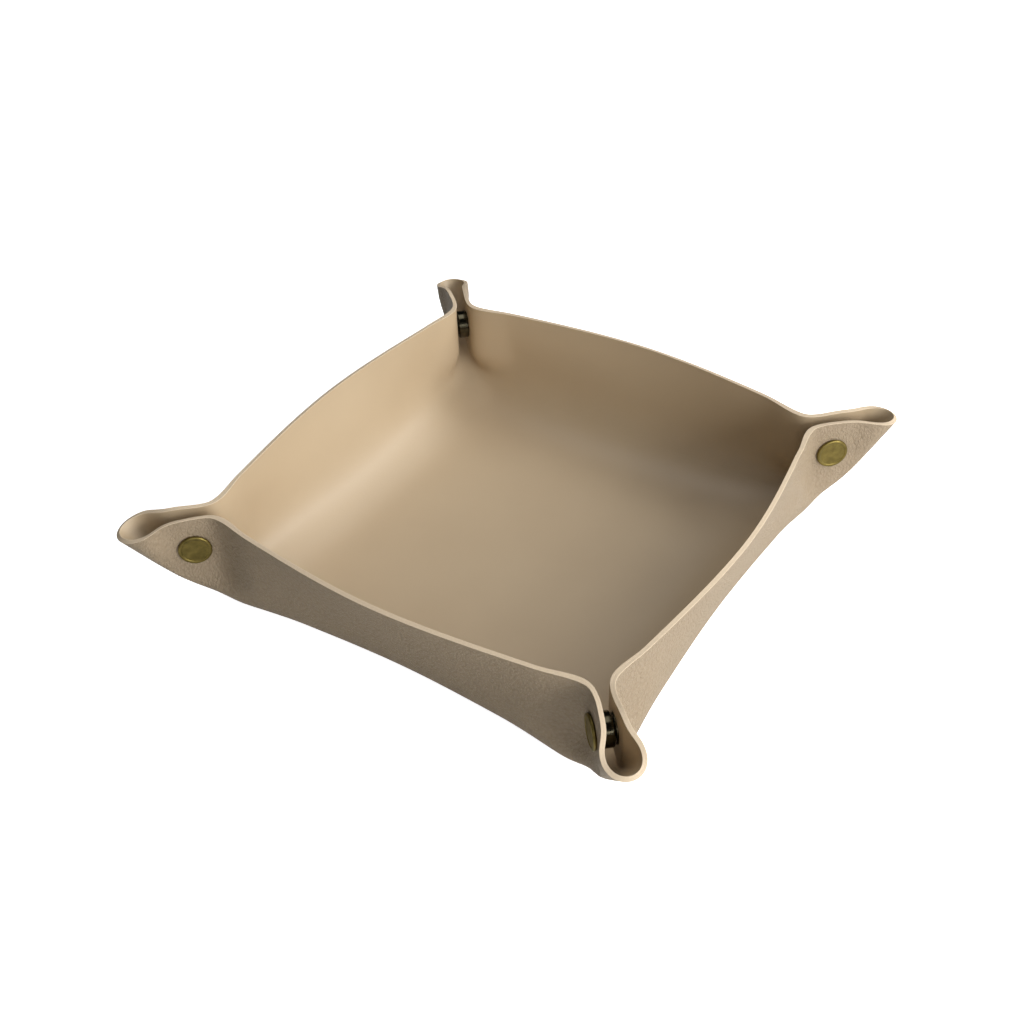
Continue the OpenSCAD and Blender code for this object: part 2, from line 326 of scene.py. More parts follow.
@dataclass
class SheetGrid:
    """The folded sheet on a square grid, with what is needed to offset it.

    For each point, seat is how far it is pressed to the plane of its press stud, across
    is the level direction across its ear, leaf the side of the ear and lean its lean.
    """

    sheet: FoldedSheet
    at: np.ndarray = field(init=False)
    bond: np.ndarray = field(init=False)
    normal: np.ndarray = field(init=False)
    seat: np.ndarray = field(init=False)
    across: np.ndarray = field(init=False)
    leaf: np.ndarray = field(init=False)
    lean: np.ndarray = field(init=False)

    def __post_init__(self) -> None:
        """Walks the rings of all four corners and joins them on one grid."""
        sheet = self.sheet
        self.at = sheet.lines()
        count = len(self.at)
        size = 2 * count - 1
        self.bond = np.zeros((size, size, 3))
        self.seat = np.zeros((size, size))
        self.across = np.zeros((size, size, 3))
        self.leaf = np.zeros((size, size))
        self.lean = np.zeros((size, size))
        on_y = np.triu(np.ones((count, count), bool))
        ring, place = np.meshgrid(self.at, self.at, indexing="ij")
        seat_half = sheet.cap_d / 2 + sheet.seat_margin
        away = np.hypot(
            np.maximum(abs(place - sheet.half + sheet.snap_from_corner) - seat_half, 0.0),
            np.maximum(abs(ring - sheet.half + sheet.snap_from_edge) - seat_half, 0.0))
        between = sheet.snap_from_corner - sheet.snap_from_edge - 2 * seat_half
        share = (1 - smooth(away / sheet.seat_soften)) * smooth((ring - place) / between)
        pinch = smooth((ring - sheet.half + sheet.pinch_depth) / sheet.pinch_depth)
        for ear in EARS:
            octant = sheet.octant(ear, self.at)
            quarter = np.where(
                on_y[..., None], octant.transpose(1, 0, 2), octant[..., [1, 0, 2]])
            start = sheet.half - sheet.turn_at - ear.turn_earlier - sheet.lean_before
            leaning = pinch * smooth((place - start) / sheet.lean_before)
            sideways = ear.lean * np.where(on_y, leaning.T, leaning)
            cells = self.quadrant(ear)
            self.bond[cells] = quarter * (ear.sx, ear.sy, 1) + sideways[..., None] * ear.across()
            self.seat[cells] = np.where(on_y, share.T, share)
            self.across[cells] = ear.across()
            self.leaf[cells] = np.where(on_y, 1.0, -1.0)
            self.lean[cells] = ear.lean
        self.normal = self.normals(self.bond)

    def quadrant(self, ear: Ear) -> tuple[np.ndarray, np.ndarray]:
        """Finds one corner's quarter of the grid.

        Args:
            ear: The corner.

        Returns:
            Addresses of its points, from the centre out.
        """
        count = len(self.at)
        steps = np.arange(count)
        return np.ix_(count - 1 + ear.sx * steps, count - 1 + ear.sy * steps)

    def normals(self, points: np.ndarray) -> np.ndarray:
        """Unit normals out of the inner face of a grid of points.

        Args:
            points: Grid of points.

        Returns:
            Grid of unit normals. On the diagonals they follow the ring's own direction.
        """
        out = np.cross(np.gradient(points, axis=0), np.gradient(points, axis=1))
        last = len(self.at) - 1
        for ear in EARS:
            k = np.arange(1, last + 1)
            i, j = last + ear.sx * k, last + ear.sy * k
            out_k = np.minimum(k + 1, last)
            oi, oj = last + ear.sx * out_k, last + ear.sy * out_k
            along = points[i, j - ear.sy] - points[i - ear.sx, j]
            radial = points[oi, oj] - points[i - ear.sx, j - ear.sy]
            out[i, j] = ear.sx * ear.sy * np.cross(along, radial)
        return out / np.linalg.norm(out, axis=-1, keepdims=True)

    def face(self, offset: float) -> np.ndarray:
        """The face a given distance inside the bonding face, pressed flat at the studs.

        Args:
            offset: Distance towards the inside of the tray.

        Returns:
            Grid of points in millimetres.
        """
        sheet = self.sheet
        points = self.bond + offset * self.normal + (0.0, 0.0, sheet.outer_t)
        bond_n = sheet.snap_gap / 2 + sheet.inner_t
        wanted = self.leaf * (bond_n - offset) + self.lean
        now = (points * self.across).sum(-1)
        return self.eased(points + ((wanted - now) * self.seat)[..., None] * self.across)

    def flat_line(self) -> np.ndarray:
        """Places of the grid's lines across the flat sheet, from edge to edge."""
        return np.concatenate([-self.at[:0:-1], self.at])

    def eased(self, points: np.ndarray) -> np.ndarray:
        """Rounds the way from the pressed seats to the walls.

        Args:
            points: A face of the sheet with its seats pressed flat.

        Returns:
            The same face, whose rings run in one curve from each seat to its wall.
        """
        sheet, at = self.sheet, self.at
        inset = sheet.half - at
        seat_end = sheet.seat_end()
        wall, seat = (int(np.argmin(abs(inset - v))) for v in (sheet.ease_to, seat_end))
        rings = np.nonzero(inset <= seat_end)[0]
        share = 1 - smooth((inset[rings] - sheet.ease_full) / (seat_end - sheet.ease_full))
        span = at[seat] - at[wall]
        t = ((at[wall : seat + 1] - at[wall]) / span)[:, None, None]
        out = points.copy()
        for ear in EARS:
            cells = self.quadrant(ear)
            quarter = out[cells]
            for leaf in (quarter, quarter.transpose(1, 0, 2)):
                leave = (leaf[wall] - leaf[wall - 1])[rings] * span / (at[wall] - at[wall - 1])
                arrive = (leaf[seat + 1] - leaf[seat])[rings] * span / (at[seat + 1] - at[seat])
                curve = (leaf[wall][rings] * (1 - smooth(t)) + leaf[seat][rings] * smooth(t)
                         + leave * t * (1 - t) ** 2 - arrive * t * t * (1 - t))
                stretch = leaf[wall : seat + 1]
                stretch[:, rings] += (curve - stretch[:, rings]) * share[None, :, None]
            out[cells] = quarter
        return out


class Layer(Enum):
    """The two leathers, by the side of the bonding face that they lie on."""

    INNER = 1
    OUTER = -1


@dataclass
class MeshParts:
    """Points, faces and their dressing for one mesh, gathered strip by strip."""

    points: list[np.ndarray] = field(default_factory=list)
    normals: list[np.ndarray] = field(default_factory=list)
    flat: list[np.ndarray] = field(default_factory=list)
    faces: list[np.ndarray] = field(default_factory=list)
    slots: list[np.ndarray] = field(default_factory=list)
    count: int = 0

    def add(
        self, points: np.ndarray, normals: np.ndarray, flat: np.ndarray,
        faces: np.ndarray, slot: int,
    ) -> None:
        """Adds one strip or face of the piece.

        Args:
            points: Points in metres.
            normals: Unit normals of the points.
            flat: Places on the flat sheet in metres, for the patterns.
            faces: Quads as indices into the points; a triangle has its last one twice.
            slot: Index of the material.
        """
        used, inverse = np.unique(faces, return_inverse=True)
        self.points.append(points[used])
        self.normals.append(normals[used])
        self.flat.append(flat[used])
        self.faces.append(inverse.reshape(faces.shape) + self.count)
        self.slots.append(np.full(len(faces), slot))
        self.count += len(used)

    def build(self, name: str, materials: list[bpy.types.Material]) -> bpy.types.Object:
        """Makes the object.

        Args:
            name: Name of the object.
            materials: Its materials, in the order of the slots.

        Returns:
            The new object, linked to the scene.
        """
        mesh = bpy.data.meshes.new(name)
        faces = [list(dict.fromkeys(face)) for face in np.concatenate(self.faces).tolist()]
        mesh.from_pydata(np.concatenate(self.points), [], faces)
        for material in materials:
            mesh.materials.append(material)
        mesh.polygons.foreach_set("material_index", np.concatenate(self.slots).astype(np.int32))
        layer = mesh.uv_layers.new(name="sheet")
        flat = np.concatenate(self.flat)[[point for face in faces for point in face]]
        layer.data.foreach_set("uv", flat.astype(np.float32).ravel())
        mesh.polygons.foreach_set("use_smooth", np.ones(len(faces), bool))
        mesh.update()
        mesh.normals_split_custom_set_from_vertices(np.concatenate(self.normals))
        return place_in_scene(name, mesh)


@dataclass
class LeatherLayer:
    """One leather of the sheet, in a resting piece and a piece for each leaf that opens.

    The cut edge has a rounded shoulder at the shown face and a fine groove along the bond.
    The sizes leaf_from and leaf_full, along a leaf's hinge, are not used. A hidden flap of each
    leaf lies under its neighbour along the fold line.
    """

    grid: SheetGrid
    layer: Layer
    node: str
    slot: str
    face_material: bpy.types.Material
    edge_material: bpy.types.Material
    bevel: float = 0.14
    shoulder_angles: tuple[float, ...] = (0.0, 30.0, 60.0, 90.0)
    bond_groove: float = 0.07
    groove_inset_share: float = 0.4
    groove_depth_share: float = 0.3
    leaf_from: float = 82.0
    leaf_full: float = 101.0
    flap_cells: int = 2
    flap_sink: float = 0.3
    flap_inset: float = 0.6

    @property
    def thickness(self) -> float:
        """Thickness of this leather."""
        sheet = self.grid.sheet
        return sheet.inner_t if self.layer is Layer.INNER else sheet.outer_t

    def edge_profile(self) -> list[tuple[float, float]]:
        """Lines of the cut edge, from the shown face to the bonding face.

        Returns:
            Inset from the cut edge and offset from the bonding face of each line.
        """
        side = self.layer.value
        full, bevel, groove = self.thickness, self.bevel, self.bond_groove
        turns = [(1 - math.sin(a), 1 - math.cos(a)) for a in np.radians(self.shoulder_angles)]
        shown = [(bevel * i, side * (full - bevel * o)) for i, o in turns]
        inner = (groove * self.groove_inset_share, side * groove * self.groove_depth_share)
        return shown + [(0.0, side * groove), inner, (groove, 0.0)]

    def first_ring(self) -> int:
        """Grid line at which the leaves start."""
        sheet = self.grid.sheet
        return int(np.searchsorted(self.grid.at, sheet.half - sheet.bend_start))

    def corner_cells(self, ear: Ear) -> tuple[np.ndarray, np.ndarray, np.ndarray]:
        """Finds the cells of one corner outside the flat base.

        Args:
            ear: The corner.

        Returns:
            A mask of the cells, and how far each cell is from the centre along X and along Y.
        """
        last = len(self.grid.at) - 1
        middle = np.arange(2 * last) - last + 0.5
        i, j = np.meshgrid(middle, middle, indexing="ij")
        here = (i * ear.sx > 0) & (j * ear.sy > 0)
        return here & (np.maximum(abs(i), abs(j)) > self.first_ring()), abs(i), abs(j)

    def leaf_of(self, ear: Ear) -> np.ndarray:
        """Cells of the leaf that opens at one ear, as a mask over the grid's cells."""
        here, i, j = self.corner_cells(ear)
        return here & (j > i if ear.cap_on_y_wall() else i > j)

    def fold_line_of(self, ear: Ear) -> np.ndarray:
        """Cells that an ear's fold line runs through, as a mask over the grid's cells."""
        here, i, j = self.corner_cells(ear)
        return here & (i == j)

    def make(self) -> list[bpy.types.Object]:
        """Builds the pieces and puts them on their bodies.

        Returns:
            The resting piece and one piece for each ear.
        """
        leaves = {ear: self.leaf_of(ear) for ear in EARS}
        folds = {ear: self.fold_line_of(ear) for ear in EARS}
        resting = ~np.any([*leaves.values(), *folds.values()], axis=0)
        rest = self.piece(f"{self.node}_sheet", resting, folds, False)
        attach(rest, "root")
        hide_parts(self.node)
        pieces = [rest]
        for ear in EARS:
            leaf = self.piece(f"{self.node}_{ear.name}_leaf", leaves[ear], {ear: folds[ear]}, True)
            ear.body()
            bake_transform(leaf)
            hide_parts(self.node)
            pieces.append(leaf)
        return pieces

    def piece(
        self, name: str, cells: np.ndarray, folds: dict[Ear, np.ndarray], cap_half: bool
    ) -> bpy.types.Object:
        """Builds one piece of the layer.

        Args:
            name: Name of the piece.
            cells: Mask of the cells that the piece holds in full.
            folds: Masks of the cells that it shares with its neighbour over a fold line.
            cap_half: Whether it takes the cap's half of those cells or the other one.

        Returns:
            The object of the piece.
        """
        profile = self.edge_profile()
        parts = MeshParts()
        side = self.layer.value
        inset, offset = profile[0]
        points = self.trimmed(self.grid.face(offset), inset)
        normal = self.grid.normals(points) * side
        flat = np.stack(np.meshgrid(*[self.grid.flat_line()] * 2, indexing="ij"), axis=-1)
        faces = [self.quads(cells, side), *self.fold_faces(folds, cap_half, side)]
        parts.add(points.reshape(-1, 3) * MM, normal.reshape(-1, 3),
                  flat.reshape(-1, 2) * MM, np.concatenate(faces), 0)
        self.add_edge(parts, profile, cells, folds, cap_half)
        if cap_half:
            for ear in folds:
                self.add_flap(parts, ear, points, flat)
        made = parts.build(name, [self.face_material, self.edge_material])
        self.declare(cells, folds, cap_half)
        return made

    def add_flap(
        self, parts: MeshParts, ear: Ear, points: np.ndarray, flat: np.ndarray
    ) -> None:
        """Adds the strip of a leaf that lies hidden under its neighbour along the fold.

        The fold line is not quite straight, so without this strip it would part by a
        hair where the leaf turns.

        Args:
            parts: The leaf.
            ear: Its corner.
            points: The shown face of the whole layer.
            flat: Places of those points on the flat sheet.
        """
        side, grid = self.layer.value, self.grid
        last = len(grid.at) - 1
        ring, short = self.flap_rings()
        tuck_i, tuck_j = (ring, short) if ear.cap_on_y_wall() else (short, ring)
        fold = (last + ear.sx * ring, last + ear.sy * ring)
        tuck = (last + ear.sx * tuck_i, last + ear.sy * tuck_j)
        under = self.trimmed(grid.face(side * (self.thickness - self.flap_sink)), self.flap_inset)
        normals = grid.normals(points) * side
        strip = np.concatenate([points[fold], under[tuck]])
        n, count = np.arange(len(ring) - 1), len(ring)
        faces = np.stack([n, n + 1, n + 1 + count, n + count], axis=1)
        turned = np.cross(strip[faces[:, 1]] - strip[faces[:, 0]],
                          strip[faces[:, 3]] - strip[faces[:, 0]])
        shown = (turned * normals[fold][:-1]).sum(axis=1) > 0
        faces = np.where(shown[:, None], faces, faces[:, ::-1])
        parts.add(strip * MM, np.concatenate([normals[fold], normals[tuck]]),
                  np.concatenate([flat[fold], flat[tuck]]) * MM, faces, 0)

    def flap_rings(self) -> tuple[np.ndarray, np.ndarray]:
        """Grid lines of a leaf's fold line, and the ones that its flap reaches back to."""
        ring = np.arange(self.first_ring(), len(self.grid.at))
        return ring, ring - self.flap_cells

    def declare(
        self, cells: np.ndarray, folds: dict[Ear, np.ndarray],
        cap_half: bool,
    ) -> None:
        """Args:
            cells: Mask of its whole cells.
            folds: Masks of the cells of which it has half.
            cap_half: Whether it has a flap along its fold line.
        """
        line = self.grid.flat_line() * MM
        areas = np.outer(np.diff(line), np.diff(line))
        area = areas[cells].sum() + sum(areas[mask].sum() for mask in folds.values()) / 2
        if cap_half:
            ring, short = self.flap_rings()
            at = self.grid.at * MM
            area += float(((at[ring] - at[short])[:-1] * np.diff(at[ring])).sum())

    def trimmed(self, points: np.ndarray, inset: float) -> np.ndarray:
        """Draws the outermost points of a face in from the cut edge.

        Args:
            points: The face.
            inset: How far they are drawn in.

        Returns:
            The face with its rim drawn in.
        """
        out = points.copy()
        rim, inner = self.rim_addresses()
        step = points[inner] - points[rim]
        out[rim] = points[rim] + step * inset / np.linalg.norm(step, axis=1, keepdims=True)
        return out

    def rim_addresses(self) -> tuple[tuple[np.ndarray, ...], tuple[np.ndarray, ...]]:
        """Walks the points round the sheet.

        Returns:
            Addresses of the rim's points, and those of their neighbours inside.
        """
        size = 2 * len(self.grid.at) - 1
        end = size - 1
        up, zero = np.arange(end), np.zeros(end, int)
        i = np.concatenate([up, zero + end, end - up, zero])
        j = np.concatenate([zero, up, zero + end, end - up])
        return (i, j), (np.clip(i, 1, end - 1), np.clip(j, 1, end - 1))

    def quads(self, cells: np.ndarray, shown: int) -> np.ndarray:
        """Makes the faces of whole cells.

        Args:
            cells: Mask of the cells.
            shown: 1 where the inside of the tray shows, -1 where the outside does.

        Returns:
            Faces as point numbers, turned to the side that shows.
        """
        size = 2 * len(self.grid.at) - 1
        i, j = np.nonzero(cells)
        corners = [i * size + j, (i + 1) * size + j, (i + 1) * size + j + 1, i * size + j + 1]
        return np.stack(corners if shown > 0 else corners[::-1], axis=1)

    def fold_faces(
        self, folds: dict[Ear, np.ndarray], cap_half: bool, shown: int
    ) -> list[np.ndarray]:
        """Makes a piece's halves of the cells on the fold lines.

        Args:
            folds: Masks of those cells.
            cap_half: Whether the piece takes the cap's half or the other one.
            shown: 1 where the inside of the tray shows, -1 where the outside does.

        Returns:
            Triangles for each ear, as quads with a doubled corner.
        """
        size = 2 * len(self.grid.at) - 1
        last = len(self.grid.at) - 1
        out = []
        for ear, mask in folds.items():
            i, j = np.nonzero(mask)
            near_i = np.where(ear.sx > 0, i, i + 1)
            near_j = np.where(ear.sy > 0, j, j + 1)
            far_i, far_j = near_i + ear.sx, near_j + ear.sy
            on_y = ear.cap_on_y_wall() == cap_half
            side_i, side_j = (near_i, far_j) if on_y else (far_i, near_j)
            near, far = near_i * size + near_j, far_i * size + far_j
            third = side_i * size + side_j
            turn = ear.sx * ear.sy * (-1 if on_y else 1) * shown
            order = [near, third, far] if turn > 0 else [near, far, third]
            out.append(np.stack([*order, order[-1]], axis=1))
        return out

    def add_edge(
        self, parts: MeshParts, profile: list[tuple[float, float]], cells: np.ndarray,
        folds: dict[Ear, np.ndarray], cap_half: bool,
    ) -> None:
        """Adds the cut edge where the piece reaches the edge of the sheet.

        Args:
            parts: The piece.
            profile: Inset and offset of each line of the edge.
            cells: Mask of the piece's whole cells.
            folds: Masks of its shared cells.
            cap_half: Which half of those it takes.
        """
        rim, _ = self.rim_addresses()
        lines = [self.trimmed(self.grid.face(offset), inset)[rim] for inset, offset in profile]
        points = np.stack(lines, axis=1)
        count, width = points.shape[:2]
        along = np.roll(points, -1, axis=0) - np.roll(points, 1, axis=0)
        normal = np.cross(along, np.gradient(points, axis=1)) * self.layer.value
        normal /= np.maximum(np.linalg.norm(normal, axis=-1, keepdims=True), 1e-9)
        travel = np.concatenate([[0.0], np.cumsum(
            np.linalg.norm(np.diff(points[:, 0], axis=0), axis=1))])
        depth = np.array([offset for _, offset in profile])
        flat = np.stack(np.broadcast_arrays(travel[:, None], depth[None, :]), axis=-1)
        keep = self.edge_cells(cells, folds, cap_half)
        n, m = np.meshgrid(np.nonzero(keep)[0], np.arange(width - 1), indexing="ij")
        n, m = n.ravel(), m.ravel()
        after = (n + 1) % count
        corners = [n * width + m, after * width + m, after * width + m + 1, n * width + m + 1]
        faces = np.stack(corners if self.layer is Layer.INNER else corners[::-1], axis=1)
        parts.add(points.reshape(-1, 3) * MM, normal.reshape(-1, 3), flat.reshape(-1, 2) * MM,
                  faces, 1)

    def edge_cells(
        self, cells: np.ndarray, folds: dict[Ear, np.ndarray], cap_half: bool
    ) -> np.ndarray:
        """Finds the stretches of the sheet's edge that belong to a piece.

        Args:
            cells: Mask of the piece's whole cells.
            folds: Masks of its shared cells.
            cap_half: Which half of those it takes.

        Returns:
            A mask over the stretches round the sheet.
        """
        end = cells.shape[0]
        up, zero = np.arange(end), np.zeros(end, int)
        i = np.concatenate([up, zero + end - 1, end - 1 - up, zero])
        j = np.concatenate([zero, up, zero + end - 1, end - 1 - up])
        keep = cells[i, j]
        on_y_side = np.repeat([True, False, True, False], end)
        for ear, mask in folds.items():
            takes_y = ear.cap_on_y_wall() == cap_half
            keep = keep | (mask[i, j] & (on_y_side == takes_y))
        return keep


@dataclass(frozen=True)
class SmoothLeather:
    """Coated split leather, ironed smooth.

    The top coat gives the inside its even taupe and a broad, soft sheen; only a
    very fine pore structure is left.
    """

    name: str = "smooth_coated_leather"
    colour: str = "bba789"
    darker: str = "b29d7f"
    roughness: float = 0.5
    top_coat: float = 0.5
    coat_roughness: float = 0.48
    smoother: float = 0.03
    rougher: float = 0.05
    ior: float = 1.48
    pore_mm: float = 0.5
    pore_depth_mm: float = 0.1
    pore_strength: float = 0.12
    cloud_mm: float = 45.0

    def material(self) -> bpy.types.Material:
        """Makes the material.

        Returns:
            The Blender material.
        """
        made, tree, shader = new_material(self.name)
        place = add_node(tree, "ShaderNodeUVMap", uv_map="sheet").outputs["UV"]
        cloud = add_node(tree, "ShaderNodeTexNoise", {
            "Vector": place, "Scale": 1 / (self.cloud_mm * MM), "Detail": 3.0})
        tone = add_node(tree, "ShaderNodeMix", {
            "Factor": cloud.outputs["Fac"], COLOUR_A: linear(self.darker),
            COLOUR_B: linear(self.colour)},
            data_type="RGBA")
        pores = add_node(tree, "ShaderNodeTexVoronoi", {
            "Vector": place, "Scale": 1 / (self.pore_mm * MM)}, feature="F1")
        bump = add_node(tree, "ShaderNodeBump", {
            "Height": pores.outputs["Distance"], "Strength": self.pore_strength,
            "Distance": self.pore_depth_mm * MM})
        rough = add_node(tree, "ShaderNodeMapRange", {
            "Value": cloud.outputs["Fac"], "To Min": self.roughness - self.smoother,
            "To Max": self.roughness + self.rougher})
        tree.links.new(tone.outputs[COLOUR_OUT], shader.inputs["Base Color"])
        tree.links.new(rough.outputs["Result"], shader.inputs["Roughness"])
        tree.links.new(bump.outputs["Normal"], shader.inputs["Normal"])
        shader.inputs["IOR"].default_value = self.ior
        shader.inputs["Coat Weight"].default_value = self.top_coat
        shader.inputs["Coat Roughness"].default_value = self.coat_roughness
        return made


@dataclass(frozen=True)
class PebbledLeather:
    """Coated leather embossed with a fine pebble grain.

    The round grains break the light up, so the outside looks drier than the inside.
    """

    name: str = "pebbled_coated_leather"
    colour: str = "a18f77"
    # Darker colour for the valleys between the grains: painted shade in the hollows.
    valley_shade: str = "938168"
    roughness: float = 0.5
    ior: float = 1.48
    grain_mm: float = 1.05
    grain_softness: float = 0.6
    grain_depth_mm: float = 0.45
    grain_strength: float = 0.9
    warp_grains: float = 3.0
    warp_share: float = 0.0006
    fine_grains: float = 0.35

    def material(self) -> bpy.types.Material:
        """Makes the material.

        Returns:
            The Blender material.
        """
        made, tree, shader = new_material(self.name)
        place = add_node(tree, "ShaderNodeUVMap", uv_map="sheet").outputs["UV"]
        warp = add_node(tree, "ShaderNodeTexNoise", {
            "Vector": place, "Scale": 1 / (self.warp_grains * self.grain_mm * MM),
            "Detail": 2.0})
        shifted = add_node(tree, "ShaderNodeMix", {
            "Factor": self.warp_share, VECTOR_A: place, VECTOR_B: warp.outputs["Color"]},
            data_type="VECTOR")
        grain = add_node(tree, "ShaderNodeTexVoronoi", {
            "Vector": shifted.outputs[VECTOR_OUT], "Scale": 1 / (self.grain_mm * MM),
            "Smoothness": self.grain_softness}, feature="SMOOTH_F1")
        fine = add_node(tree, "ShaderNodeTexNoise", {
            "Vector": place, "Scale": 1 / (self.fine_grains * self.grain_mm * MM),
            "Detail": 3.0})
        height = add_node(tree, "ShaderNodeMath", {
            0: grain.outputs["Distance"], 1: -1.0, 2: fine.outputs["Fac"]},
            operation="MULTIPLY_ADD")
        # The valleys between the grains take the darker colour, as painted shade.
        tone = add_node(tree, "ShaderNodeMix", {
            "Factor": grain.outputs["Distance"], COLOUR_A: linear(self.colour),
            COLOUR_B: linear(self.valley_shade)},
            data_type="RGBA")
        bump = add_node(tree, "ShaderNodeBump", {
            "Height": height.outputs["Value"], "Strength": self.grain_strength,
            "Distance": self.grain_depth_mm * MM})
        tree.links.new(tone.outputs[COLOUR_OUT], shader.inputs["Base Color"])
        tree.links.new(bump.outputs["Normal"], shader.inputs["Normal"])
        shader.inputs["Roughness"].default_value = self.roughness
        shader.inputs["IOR"].default_value = self.ior
        return made


@dataclass(frozen=True)
class CutEdge:
    """The raw, sanded edge of the leather, paler than its coated faces."""

    name: str = "sanded_leather_edge"
    colour: str = "d8c6ab"
    fibre: str = "c6b297"
    roughness: float = 0.75
    ior: float = 1.45
    fibre_mm: float = 0.6
    fibre_depth_mm: float = 0.1
    fibre_strength: float = 0.3

    def material(self) -> bpy.types.Material:
        """Makes the material.

        Returns:
            The Blender material.
        """
        made, tree, shader = new_material(self.name)
        place = add_node(tree, "ShaderNodeUVMap", uv_map="sheet").outputs["UV"]
        noise = add_node(tree, "ShaderNodeTexNoise", {
            "Vector": place, "Scale": 1 / (self.fibre_mm * MM), "Detail": 4.0})
        tone = add_node(tree, "ShaderNodeMix", {
            "Factor": noise.outputs["Fac"], COLOUR_A: linear(self.fibre),
            COLOUR_B: linear(self.colour)},
            data_type="RGBA")
        bump = add_node(tree, "ShaderNodeBump", {
            "Height": noise.outputs["Fac"], "Strength": self.fibre_strength,
            "Distance": self.fibre_depth_mm * MM})
        tree.links.new(tone.outputs[COLOUR_OUT], shader.inputs["Base Color"])
        tree.links.new(bump.outputs["Normal"], shader.inputs["Normal"])
        shader.inputs["Roughness"].default_value = self.roughness
        shader.inputs["IOR"].default_value = self.ior
        return made


@dataclass(frozen=True)
class MottledMetal:
    """Metal whose skin varies in patches between a dark and a rubbed tone."""

    name: str
    rubbed: str
    dark: str
    roughness: float
    duller: float = 0.1
    brighter: float = 0.05
    patch_mm: float = 2.5
    patch_depth_mm: float = 0.05
    patch_strength: float = 0.15

    def material(self) -> bpy.types.Material:
        """Makes the material.

        Returns:
            The Blender material.
        """
        made, tree, shader = new_material(self.name)
        place = add_node(tree, "ShaderNodeTexCoord").outputs["Object"]
        noise = add_node(tree, "ShaderNodeTexNoise", {
            "Vector": place, "Scale": 1 / (self.patch_mm * MM), "Detail": 5.0})
        tone = add_node(tree, "ShaderNodeMix", {
            "Factor": noise.outputs["Fac"], COLOUR_A: linear(self.dark),
            COLOUR_B: linear(self.rubbed)},
            data_type="RGBA")
        rough = add_node(tree, "ShaderNodeMapRange", {
            "Value": noise.outputs["Fac"], "To Min": self.roughness + self.duller,
            "To Max": self.roughness - self.brighter})
        bump = add_node(tree, "ShaderNodeBump", {
            "Height": noise.outputs["Fac"], "Strength": self.patch_strength,
            "Distance": self.patch_depth_mm * MM})
        tree.links.new(tone.outputs[COLOUR_OUT], shader.inputs["Base Color"])
        tree.links.new(rough.outputs["Result"], shader.inputs["Roughness"])
        tree.links.new(bump.outputs["Normal"], shader.inputs["Normal"])
        shader.inputs["Metallic"].default_value = 1.0
        return made


# Brass plate, darkened in a bath and rubbed back: the hollows stay olive brown and the
# raised parts show duller, warmer metal.
ANTIQUED_BRASS = MottledMetal("antiqued_brass_plate", "97864c", "4e4423", 0.4)
# Brass given a dark colour as painted shade, for the studs' inner halves deep in the loops; left
# glossy, so that it shows dark with small, hard lights.
SHADE_DARKENED_BRASS = MottledMetal("brass_darkened_as_painted_shade", "6b6552", "26231a", 0.16)
# Bare steel wire, drawn smooth: an even, cool grey.
STEEL_WIRE = MottledMetal("drawn_steel_wire", "c9c9c4", "a8a8a2", 0.25)


def new_material(
    name: str,
) -> tuple[bpy.types.Material, bpy.types.NodeTree, bpy.types.Node]:
    """Makes an empty material with a Principled shader.

    Args:
        name: Name of the material.

    Returns:
        The material, its node tree and its shader node.
    """
    made = bpy.data.materials.new(name)
    made.use_nodes = True
    return made, made.node_tree, made.node_tree.nodes["Principled BSDF"]


